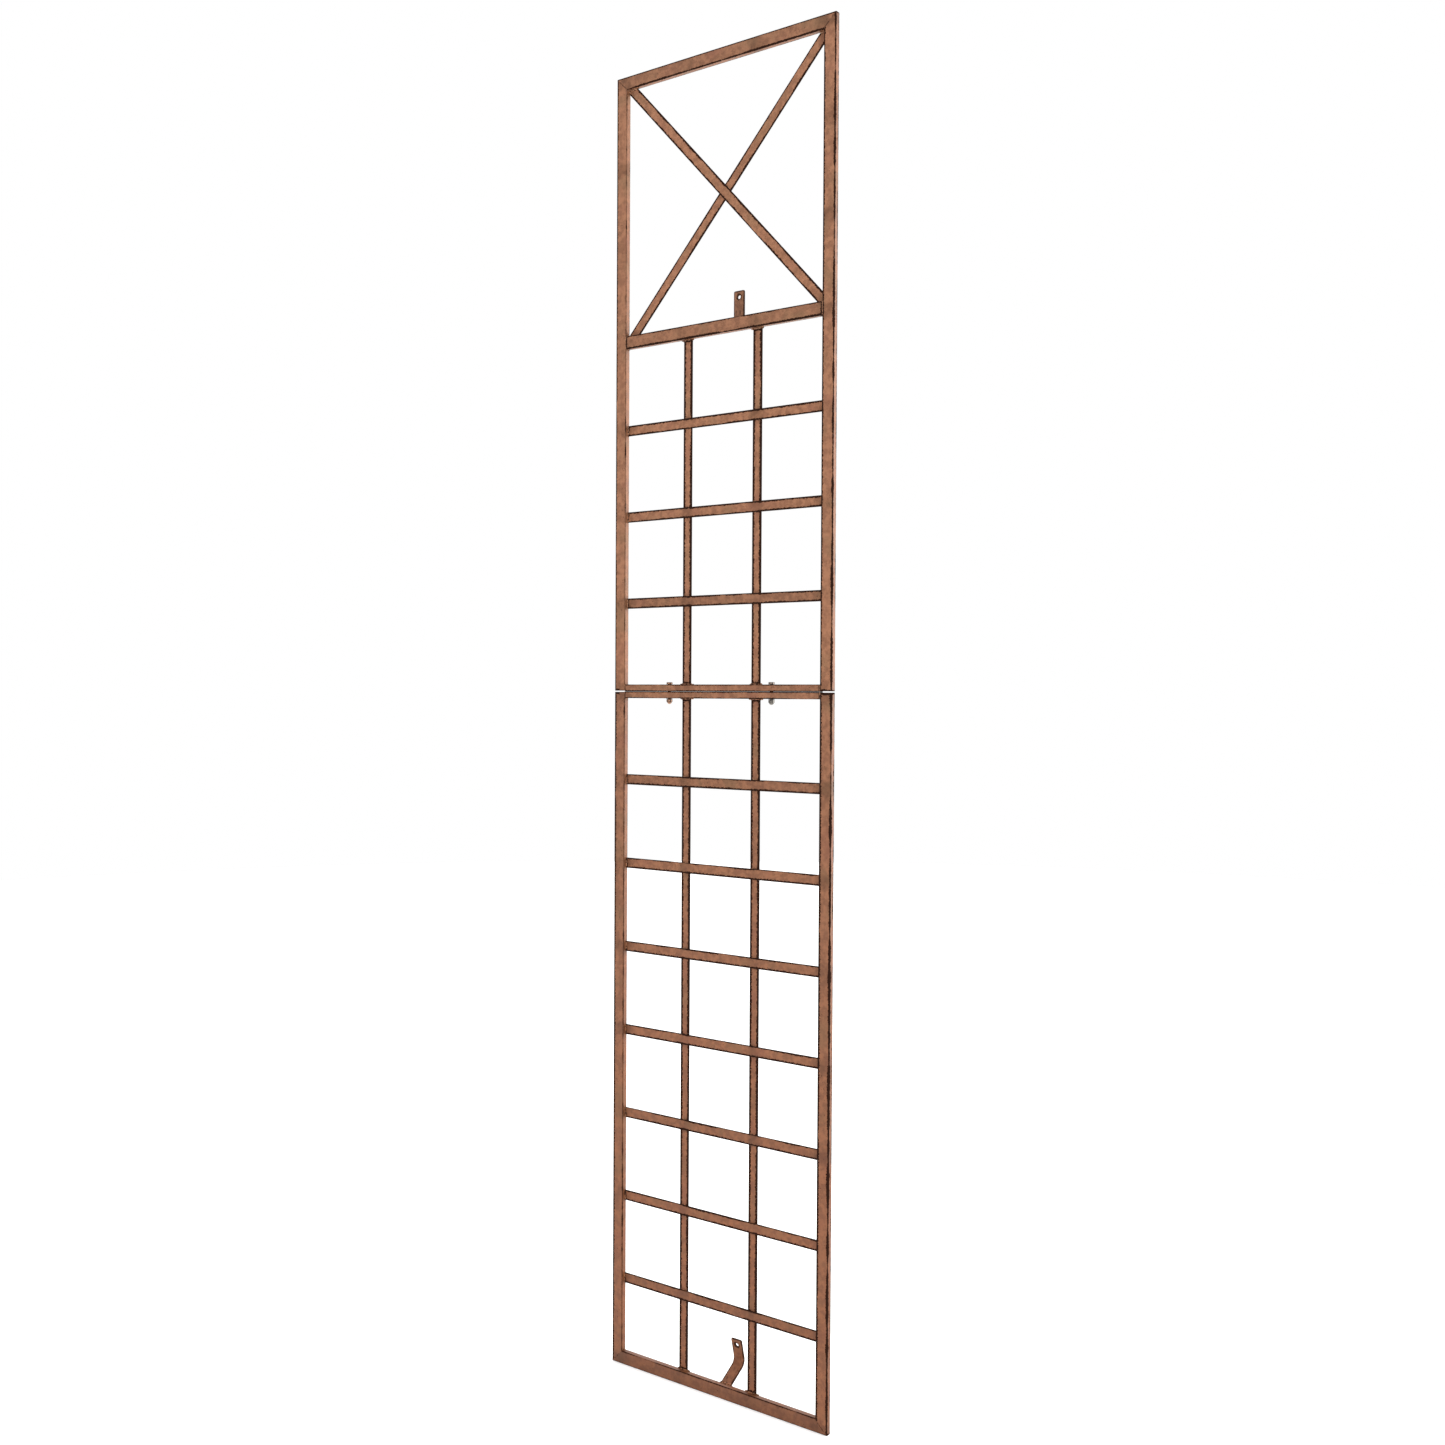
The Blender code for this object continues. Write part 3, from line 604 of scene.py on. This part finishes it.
def join_rings(bm, rings, poles):
    """Skins a run of rings, closed by a point at each end."""
    for first, second in zip(rings, rings[1:]):
        for index in range(len(first)):
            after = (index + 1) % len(first)
            bm.faces.new((first[index], first[after], second[after], second[index]))
    for pole, ring in zip(poles, (rings[0], rings[-1])):
        for index in range(len(ring)):
            bm.faces.new((pole, ring[index], ring[(index + 1) % len(ring)]))


def add_bead(bm, panel, start, end, crown, radius, flat=0.85):
    """A closed, rippled and lumpy weld bead. The crown is the way its rounded top faces."""
    start, end = Vector(start), Vector(end)
    length = (end - start).length
    along = (end - start) / length
    crown = Vector(crown) - along * along.dot(Vector(crown))
    crown.normalize()
    across = along.cross(crown)
    count = max(6, round(length / BEAD_STEP))
    rings = []
    for step in range(1, count):
        travelled = length * step / count
        from_end = min(travelled, length - travelled)
        middle = start + along * travelled
        ripple = 1 + RIPPLE_DEPTH * math.cos(2 * math.pi * travelled / RIPPLE_PITCH)
        lump = 1 + LUMP_DEPTH * noise.noise(middle * LUMP_SCALE)
        swell = radius * ripple * lump * math.sin(math.pi / 2 * min(1.0, from_end / radius)) ** 0.6
        middle += across * radius * 0.5 * noise.noise(middle * LUMP_SCALE + Vector((5, 5, 5)))
        ring = []
        for side in range(BEAD_SIDES):
            angle = 2 * math.pi * side / BEAD_SIDES
            offset = (crown * flat * math.cos(angle) + across * math.sin(angle)) * swell
            grain = 1 + GRAIN_DEPTH * noise.noise((middle + offset) * GRAIN_SCALE)
            ring.append(bm.verts.new(keep_inside(middle + offset * grain, panel)))
        rings.append(ring)
    join_rings(bm, rings, [bm.verts.new(keep_inside(place, panel)) for place in (start, end)])


def finish_piece(name, bm, body, material, tone=1.0):
    """Turns a finished mesh into a piece that rides on a body of the frame."""
    bmesh.ops.recalc_face_normals(bm, faces=bm.faces)
    mesh = bpy.data.meshes.new(name)
    bm.to_mesh(mesh)
    bm.free()
    mesh.shade_smooth()
    mesh.materials.append(material)
    piece = bpy.data.objects.new(name, mesh)
    bpy.context.scene.collection.objects.link(piece)
    piece["paint_tone"] = tone
    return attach(piece, body)


def finish_welds(name, bm, panel, tone=WELD_TONE):
    return finish_piece(f"{panel}_{name}", bm, PANELS[panel], WELD, tone)


def weld_slats(panel, chance):
    """Fillets where slats meet the stiles, and tacks where they cross the uprights."""
    ends = bmesh.new()
    tacks = bmesh.new()
    for index in range(SLAT_COUNT[panel]):
        low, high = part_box(f"{panel}_slat_{index + 1}")
        for _, side in SIDES:
            x = side * (STILE_INNER - SNUG)
            for y, way in ((low.y, -1), (high.y, 1)):
                radius = chance.uniform(1.2, 1.6) * MM
                start = (x, y, low.z + chance.uniform(0, 3) * MM)
                end = (x, y, high.z - chance.uniform(0, 3) * MM)
                add_bead(ends, panel, start, end, (-side, way, 0), radius)
            middle = side * UPRIGHT_MIDDLE
            for z, way in ((low.z, -1), (high.z, 1)):
                half = chance.uniform(3.5, 6.5) * MM
                x = middle + chance.uniform(-2.5, 2.5) * MM
                start, end = (x - half, UPRIGHT_FRONT, z), (x + half, UPRIGHT_FRONT, z)
                add_bead(tacks, panel, start, end, (0, -1, way), chance.uniform(1.0, 1.4) * MM)
            for way in (-1, 1):
                half = chance.uniform(3.5, 6.0) * MM
                z = (low.z + high.z) / 2 + chance.uniform(-3, 3) * MM
                edge = middle + way * (BAR_HALF + 0.1 * MM)
                start, end = (edge, high.y + SNUG, z - half), (edge, high.y + SNUG, z + half)
                add_bead(tacks, panel, start, end, (way, 1, 0), chance.uniform(1.0, 1.3) * MM)
    finish_welds("slat_welds", ends, panel)
    finish_welds("crossing_welds", tacks, panel)


def weld_uprights(panel, chance):
    """Beads across both ends of the uprights, with a blob at each corner."""
    bm = bmesh.new()
    for side, _ in SIDES:
        low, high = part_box(f"{panel}_{side}_upright")
        middle = (low.x + high.x) / 2
        for z, way in ((low.z, 1), (high.z, -1)):
            start, end = (low.x + MM, low.y, z), (high.x - MM, low.y, z)
            add_bead(bm, panel, start, end, (0, -1, way), chance.uniform(1.5, 1.9) * MM)
            start, end = (low.x, high.y - 0.4 * MM, z), (high.x, high.y - 0.4 * MM, z)
            add_bead(bm, panel, start, end, (0, 1, way), chance.uniform(1.3, 1.6) * MM)
            for x, out in ((low.x, -1), (high.x, 1)):
                radius = chance.uniform(1.9, 2.9) * MM
                place = x + out * chance.uniform(0.4, 1.6) * MM
                start = (place, low.y - MM, z + way * 0.4 * MM)
                end = (place, high.y, z + way * 0.4 * MM)
                add_bead(bm, panel, start, end, (out, 0, way), radius)
                reach = x + out * chance.uniform(3.5, 7.0) * MM
                start, end = (x, low.y + 0.8 * MM, z), (reach, low.y + 0.8 * MM, z)
                add_bead(bm, panel, start, end, (0, -1, way), chance.uniform(1.2, 1.7) * MM)
    finish_welds("upright_welds", bm, panel)


def weld_level_rail(bm, panel, node, ways, chance):
    """Seams where a rail butts against both stiles, flush in front, and fillets above or below it."""
    low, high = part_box(node)
    front, back = TUBE_FRONT + 0.95 * MM, TUBE_BACK - 0.2 * MM
    for _, side in SIDES:
        x = side * (STILE_INNER + 0.35 * MM)
        start, end = (x, front, low.z + 0.3 * MM), (x, front, high.z - 0.3 * MM)
        add_bead(bm, panel, start, end, (0, -1, 0), 1.25 * MM)
        start, end = (x, back, low.z + MM), (x, back, high.z - MM)
        add_bead(bm, panel, start, end, (0, 1, 0), chance.uniform(1.2, 1.5) * MM)
        for way in ways:
            z = high.z if way > 0 else low.z
            x = side * (STILE_INNER - 0.2 * MM)
            start, end = (x, TUBE_FRONT + 2 * MM, z), (x, TUBE_BACK - 1.2 * MM, z)
            add_bead(bm, panel, start, end, (-side, 0, way), chance.uniform(1.3, 1.8) * MM)


def weld_mitres(panel, chance):
    """Flush rods in the mitre cuts, proud beads behind them and a fillet inside each corner."""
    bm = bmesh.new()
    low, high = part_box(OUTER_RAIL[panel])
    outer, inner, way = (low.z, high.z, 1) if panel == "lower" else (high.z, low.z, -1)

    def depth(y):
        return Vector((0, y, 0))

    for side_name, side in SIDES:
        near = Vector((side * STILE_INNER, 0, inner))
        far = Vector((side * FRAME_HALF_WIDTH, 0, outer))
        step = (far - near).normalized() * 0.6 * MM
        for y, radius, crown in ((TUBE_FRONT + 0.5 * MM, 0.55 * MM, -1), (TUBE_BACK - 0.1 * MM, 1.1 * MM, 1)):
            add_bead(bm, panel, near + depth(y) + step, far + depth(y) - step * 2, (0, crown, 0), radius)
        start, end = far - step + depth(TUBE_FRONT + MM), far - step + depth(TUBE_BACK - MM)
        add_bead(bm, panel, start, end, (side, 0, -way), 0.7 * MM)
        radius = (BIG_CORNER if (panel, side_name) == ("upper", "left") else chance.uniform(1.6, 2.1)) * MM
        start, end = near + depth(TUBE_FRONT + 1.6 * MM), near + depth(TUBE_BACK - 0.8 * MM)
        add_bead(bm, panel, start, end, (-side, 0, way), radius)
    finish_welds("corner_welds", bm, panel)


def contact_span(node, axis, value):
    """The stretch over which a bar's end lies against a plane square to X or Z, along the other axis."""
    points = [vertex.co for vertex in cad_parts[node].data.vertices]
    touching = [point[2 - axis] for point in points if abs(point[axis] - value) < 0.05 * MM]
    return min(touching), max(touching)


def weld_brace_ends(bm, node, chance):
    """Beads on both faces of a brace, wherever its cut ends lie against a stile or a rail."""
    low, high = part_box(node)
    for axis, value, inward in ((0, low.x, 1), (0, high.x, -1), (2, low.z, 1), (2, high.z, -1)):
        first, last = contact_span(node, axis, value)
        if last - first < 3 * MM:
            continue
        for y, way in ((low.y, -1), (high.y - 0.2 * MM, 1)):
            start, end = Vector((0, y, 0)), Vector((0, y, 0))
            start[axis] = end[axis] = value
            start[2 - axis], end[2 - axis] = first, last
            crown = Vector((0, way, 0))
            crown[axis] = inward
            add_bead(bm, "upper", start, end, crown, chance.uniform(1.4, 2.1) * MM)


def weld_braces(chance):
    bm = bmesh.new()
    for node in BRACES:
        weld_brace_ends(bm, node, chance)
    front_middle, front_half, front_turn = bar_axes(BRACES[0])
    back_middle, _, back_turn = bar_axes(BRACES[1])
    along = Vector((math.cos(front_turn), 0, math.sin(front_turn)))
    across = Vector((-along.z, 0, along.x))
    other = Vector((math.cos(back_turn), 0, math.sin(back_turn)))
    apart = back_middle - front_middle
    run = (apart.x * other.z - apart.z * other.x) / (along.x * other.z - along.z * other.x)
    cross = front_middle + along * run
    cross.y = UPRIGHT_FRONT
    for way in (-1, 1):
        edge = cross + across * way * front_half.z
        shift = along * chance.uniform(-2, 2) * MM
        add_bead(bm, "upper", edge + shift - along * 5 * MM, edge + shift + along * 5 * MM,
                 across * way + Vector((0, -1, 0)), 1.3 * MM)
    finish_welds("brace_welds", bm, "upper")


def weld_bracket(panel, rail, chance):
    """Beads above and below the strap's foot, run out over the rail, and a few stray drops."""
    bm = bmesh.new()
    low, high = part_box(f"{panel}_wall_bracket")
    rail_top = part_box(rail)[1].z
    points = [vertex.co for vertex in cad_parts[f"{panel}_wall_bracket"].data.vertices]
    foot = [point.z for point in points if point.y < low.y + 0.05 * MM]
    y = TUBE_BACK + 0.4 * MM
    start, end = (low.x - 0.5 * MM, y, max(foot)), (high.x + 0.5 * MM, y, max(foot))
    add_bead(bm, panel, start, end, (0, 0.6, 1), 1.9 * MM)
    start, end = (low.x + MM, y, min(foot)), (high.x - MM, y, min(foot))
    add_bead(bm, panel, start, end, (0, 0.6, -1), 1.6 * MM)
    for x, out in ((low.x, -1), (high.x, 1)):
        x += out * SNUG
        add_bead(bm, panel, (x, y, min(foot)), (x, y, max(foot)), (out, 0.6, 0), 1.6 * MM)
    if max(foot) > rail_top:
        for x in (low.x + 2 * MM, (low.x + high.x) / 2, high.x - 3 * MM):
            place = x + chance.uniform(-1.5, 1.5) * MM
            half = chance.uniform(2.5, 4.5) * MM
            start = (place - half, TUBE_BACK - 1.6 * MM, rail_top)
            end = (place + half, TUBE_BACK - 1.2 * MM, rail_top)
            add_bead(bm, panel, start, end, (0, -0.5, 1), chance.uniform(1.6, 2.3) * MM)
        for offset, radius in ((6, 1.0), (14, 1.7), (-7, 0.9)):
            x = (high.x if offset > 0 else low.x) + offset * MM
            start = (x - 1.8 * MM, chance.uniform(-1, 3) * MM, rail_top)
            end = (x + 1.8 * MM, chance.uniform(-1, 3) * MM, rail_top)
            add_bead(bm, panel, start, end, (0, 0, 1), radius * MM)
    finish_welds("bracket_welds", bm, panel, BRACKET_WELD_TONE)


def fill_joint(chance):
    """Dark paint caught in the groove between the joint rails, thicker towards the right; it also stands in
    for the painted shade of the groove.
    """
    bm = bmesh.new()
    low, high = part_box("lower_joint_rail")
    for y, way in ((TUBE_FRONT, 1), (TUBE_BACK, -1)):
        x = low.x + MM
        while x < high.x - 6 * MM:
            run = min(chance.uniform(12, 46) * MM, high.x - x)
            share = (x - low.x) / (high.x - low.x)
            radius = chance.uniform(0.6, 0.8 + 0.7 * share) * MM
            z = JOINT_PLANE - 0.1 * MM - 0.8 * radius
            depth = y + way * (0.15 * MM + 0.8 * radius)
            add_bead(bm, "lower", (x, depth, z), (x + run, depth, z), (0, -way, 0), radius)
            x += run - chance.uniform(-1.5, 2.5) * MM
    finish_piece("lower_seam_paint_and_shade_bead", bm, PANELS["lower"], SEAM)


def build_welds():
    chance = random.Random(11)
    for panel in PANELS:
        weld_slats(panel, chance)
        weld_uprights(panel, chance)
        weld_mitres(panel, chance)
        rails = bmesh.new()
        far = {"lower": -1, "upper": 1}[panel]
        weld_level_rail(rails, panel, f"{panel}_joint_rail", (far,), chance)
        if panel == "upper":
            weld_level_rail(rails, panel, "upper_mid_rail", (-1, 1), chance)
        finish_welds("rail_welds", rails, panel)
        weld_bracket(panel, BRACKET_RAIL[panel], chance)
    weld_braces(chance)
    fill_joint(chance)


# ---------------------------------------------------------------- fasteners
def hexagon(flat):
    """Radius of a hexagon at an angle, its flats facing left and right."""
    return lambda angle: flat / math.cos((angle + math.pi / 6) % (math.pi / 3) - math.pi / 6)


def even(radius):
    return lambda angle: radius


def smaller(first, second):
    return lambda angle: min(first(angle), second(angle))


def thread(z, top, fade):
    """Radius round a screw thread at one height."""
    def radius(angle):
        turn = 2 * math.pi * (top - z) / THREAD_PITCH
        return SHANK_RADIUS - THREAD_DEPTH * fade * (0.5 - 0.5 * math.cos(turn + angle))
    return radius


def turn_piece(name, node, rings, poles, body, side, rims):
    """A closed piece swept round an upright axis from (height, radius at an angle), in place of a node."""
    low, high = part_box(node)
    x, y = (low.x + high.x) / 2, (low.y + high.y) / 2
    bm = bmesh.new()
    skin = []
    for z, radius in rings:
        ring = []
        for step in range(TURN_STEPS):
            angle = 2 * math.pi * step / TURN_STEPS
            reach = radius(angle)
            ring.append(bm.verts.new((x + reach * math.cos(angle), y + reach * math.sin(angle), z)))
        skin.append(ring)
    if poles:
        join_rings(bm, skin, [bm.verts.new((x, y, z)) for z in poles])
    else:
        join_rings(bm, skin + skin[:1], ())
    piece = finish_piece(name, bm, body, FASTENER[side])
    piece.data.set_sharp_from_angle(angle=math.radians(34))
    piece["piece_middle"] = [x, y, 0.0]
    piece["rim_low"], piece["rim_high"] = rims
    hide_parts(node)


def chamfered_hexagon(low, high, flat, cut_low, cut_high):
    """Rings down a hexagon whose corners are turned off at 30 degrees on the faces asked for."""
    face = flat * CHAMFER_FACE
    side = hexagon(flat)
    corner = (flat / math.cos(math.pi / 6) - face) * math.tan(CHAMFER)

    def end_rings(cut):
        """Distances in from one face of the hexagon, with the radius there."""
        if not cut:
            return [(drop, smaller(side, even(flat * 1.2))) for drop in (0.0, 0.12 * MM)]
        drops = [corner * share for share in (0.0, 0.25, 0.5, 0.75, 1.0)]
        return [(drop, smaller(side, even(face + drop / math.tan(CHAMFER)))) for drop in drops]

    rings = [(high - drop, radius) for drop, radius in end_rings(cut_high)]
    rings += [(high - (high - low) * share, side) for share in (0.4, 0.6)]
    rings += [(low + drop, radius) for drop, radius in reversed(end_rings(cut_low))]
    return rings


def build_bolt(side):
    node = f"joint_bolt_{side}"
    low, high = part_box(node)
    seat = high.z - BOLT_HEAD_HEIGHT
    flat = (high.x - low.x) / 2
    dished = high.z - BOLT_TOP_DISH
    rings = [(dished, even(2.0 * MM)), (high.z, even(2.3 * MM)), (high.z, even(flat * 0.9))]
    rings += chamfered_hexagon(seat, high.z, flat, False, True)
    rings += [(seat, even(3.3 * MM)), (seat - 0.3 * MM, even(SHANK_RADIUS))]
    top = low.z + THREAD_LENGTH
    tip = low.z + 0.8 * MM
    rings.append((top + MM, even(SHANK_RADIUS)))
    count = round((top - tip) / THREAD_PITCH * THREAD_STEPS)
    for step in range(count + 1):
        z = top - (top - tip) * step / count
        rings.append((z, thread(z, top, min(1.0, step / THREAD_STEPS))))
    rings += [(low.z + 0.15 * MM, even(2.15 * MM)), (low.z, even(1.9 * MM))]
    turn_piece(f"bolt_{side}_m6", node, rings, (dished, low.z), f"bolt_{side}", side, (seat, high.z))


def build_washer(side):
    node = f"joint_washer_{side}"
    low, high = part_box(node)
    outer = (high.x - low.x) / 2
    edge = WASHER_EDGE
    nick = 0.3 * edge
    outline = ((high.z, NUT_BORE + edge), (high.z, outer - edge), (high.z - nick, outer - nick),
               (high.z - edge, outer), (low.z + edge, outer), (low.z + nick, outer - nick),
               (low.z, outer - edge), (low.z, NUT_BORE + edge), (low.z + edge, NUT_BORE),
               (high.z - edge, NUT_BORE))
    rings = [(z, even(radius)) for z, radius in outline]
    turn_piece(f"washer_{side}_m6", node, rings, (), f"washer_{side}", side, (low.z, high.z))


def build_cap_nut(side):
    node = f"joint_cap_nut_{side}"
    low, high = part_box(node)
    flat = (high.x - low.x) / 2
    dome = NUT_DOME_RADIUS
    bottom = high.z - NUT_BORE_DEPTH
    rings = [(bottom, even(NUT_BORE * 0.6)), (bottom + MM, even(NUT_BORE))]
    rings += [(high.z - 0.4 * MM, even(NUT_BORE)), (high.z, even(NUT_BORE + 0.35 * MM))]
    rings.append((high.z, even(flat * 0.9)))
    hex_low = high.z - NUT_HEX_HEIGHT
    rings += chamfered_hexagon(hex_low, high.z, flat, True, True)
    first = math.asin((low.z + dome - hex_low) / dome)
    for step in range(12):
        angle = first + (math.pi / 2 - first) * step / 12
        rings.append((low.z + dome - dome * math.sin(angle), even(dome * math.cos(angle))))
    turn_piece(f"cap_nut_{side}_m6", node, rings, (bottom, low.z), f"cap_nut_{side}", side, (hex_low, high.z))


build_welds()
for side_name, _ in SIDES:
    build_bolt(side_name)
    build_washer(side_name)
    build_cap_nut(side_name)


# ---------------------------------------------------------------- stage, lights and camera
def look_along(yaw, pitch, roll, place):
    """A camera matrix. Yaw turns to the left from +Y, pitch looks up, and roll turns the picture."""
    forward = Vector((-math.sin(yaw) * math.cos(pitch), math.cos(yaw) * math.cos(pitch), math.sin(pitch)))
    level = Vector((math.cos(yaw), math.sin(yaw), 0))
    above = level.cross(forward)
    right = level * math.cos(roll) + above * math.sin(roll)
    up = above * math.cos(roll) - level * math.sin(roll)
    matrix = Matrix((right, up, -forward)).transposed().to_4x4()
    matrix.translation = place
    return matrix


def add_camera():
    data = bpy.data.cameras.new("camera")
    data.lens = LENS_MM
    data.sensor_width = SENSOR_MM
    camera = bpy.data.objects.new("camera", data)
    bpy.context.scene.collection.objects.link(camera)
    angles = [math.radians(value) for value in CAMERA_ANGLES]
    camera.matrix_world = look_along(*angles, Vector(CAMERA_PLACE))
    bpy.context.scene.camera = camera


def add_world():
    """Plain white for the camera. For the light, a studio that is brighter behind the trellis."""
    world = bpy.data.worlds.new("studio")
    world.use_nodes = True
    bpy.context.scene.world = world
    graph = Graph(world.node_tree)
    direction = graph.add("ShaderNodeTexCoord").outputs["Generated"]
    _, back, up = graph.split(direction)
    level = graph.smooth(back, -0.6, 0.9, SKY_FRONT, SKY_BACK)
    strength = graph.maths("ADD", level, graph.smooth(up, 0.0, 1.0, 0.0, SKY_TOP))
    seen = graph.add("ShaderNodeLightPath").outputs["Is Camera Ray"]
    mixed = graph.add("ShaderNodeMix", {"Factor": seen, "A": strength, "B": 1.0})
    background = world.node_tree.nodes["Background"]
    background.inputs["Color"].default_value = (1, 1, 1, 1)
    graph.feed(background.inputs["Strength"], mixed.outputs[0])


def add_softbox(name, place, target, width, height, power):
    data = bpy.data.lights.new(name, "AREA")
    data.shape = "RECTANGLE"
    data.size = width
    data.size_y = height
    data.energy = power
    light = bpy.data.objects.new(name, data)
    bpy.context.scene.collection.objects.link(light)
    light.location = place
    light.rotation_euler = (Vector(target) - Vector(place)).to_track_quat("-Z", "Y").to_euler()
    light.visible_camera = False


def add_floor():
    bm = bmesh.new()
    bmesh.ops.create_circle(bm, cap_ends=True, segments=96, radius=FLOOR_RADIUS)
    mesh = bpy.data.meshes.new("floor")
    bm.to_mesh(mesh)
    bm.free()
    floor = bpy.data.objects.new("floor", mesh)
    bpy.context.scene.collection.objects.link(floor)
    floor.location.z = cad_low.z - 0.2 * MM
    material, graph, place, shader = new_material("studio_floor")
    tone = graph.smooth(graph.noise(place, 3.0), 0.3, 0.7, 0.93, 0.95)
    graph.feed(shader.inputs["Base Color"], graph.join(tone, tone, tone))
    shader.inputs["Roughness"].default_value = 0.85
    shader.inputs["Emission Color"].default_value = (1, 1, 1, 1)
    shader.inputs["Emission Strength"].default_value = FLOOR_GLOW
    mesh.materials.append(material)


add_world()
add_floor()
add_softbox("key", (1.3, -4.4, 3.6), (0, 0, 1.4), 2.4, 2.0, KEY_WATTS)
add_softbox("side", (2.3, 2.4, 1.7), (0, 0, 1.3), 1.8, 3.0, SIDE_WATTS)
add_camera()
bpy.context.scene.view_settings.view_transform = "Standard"
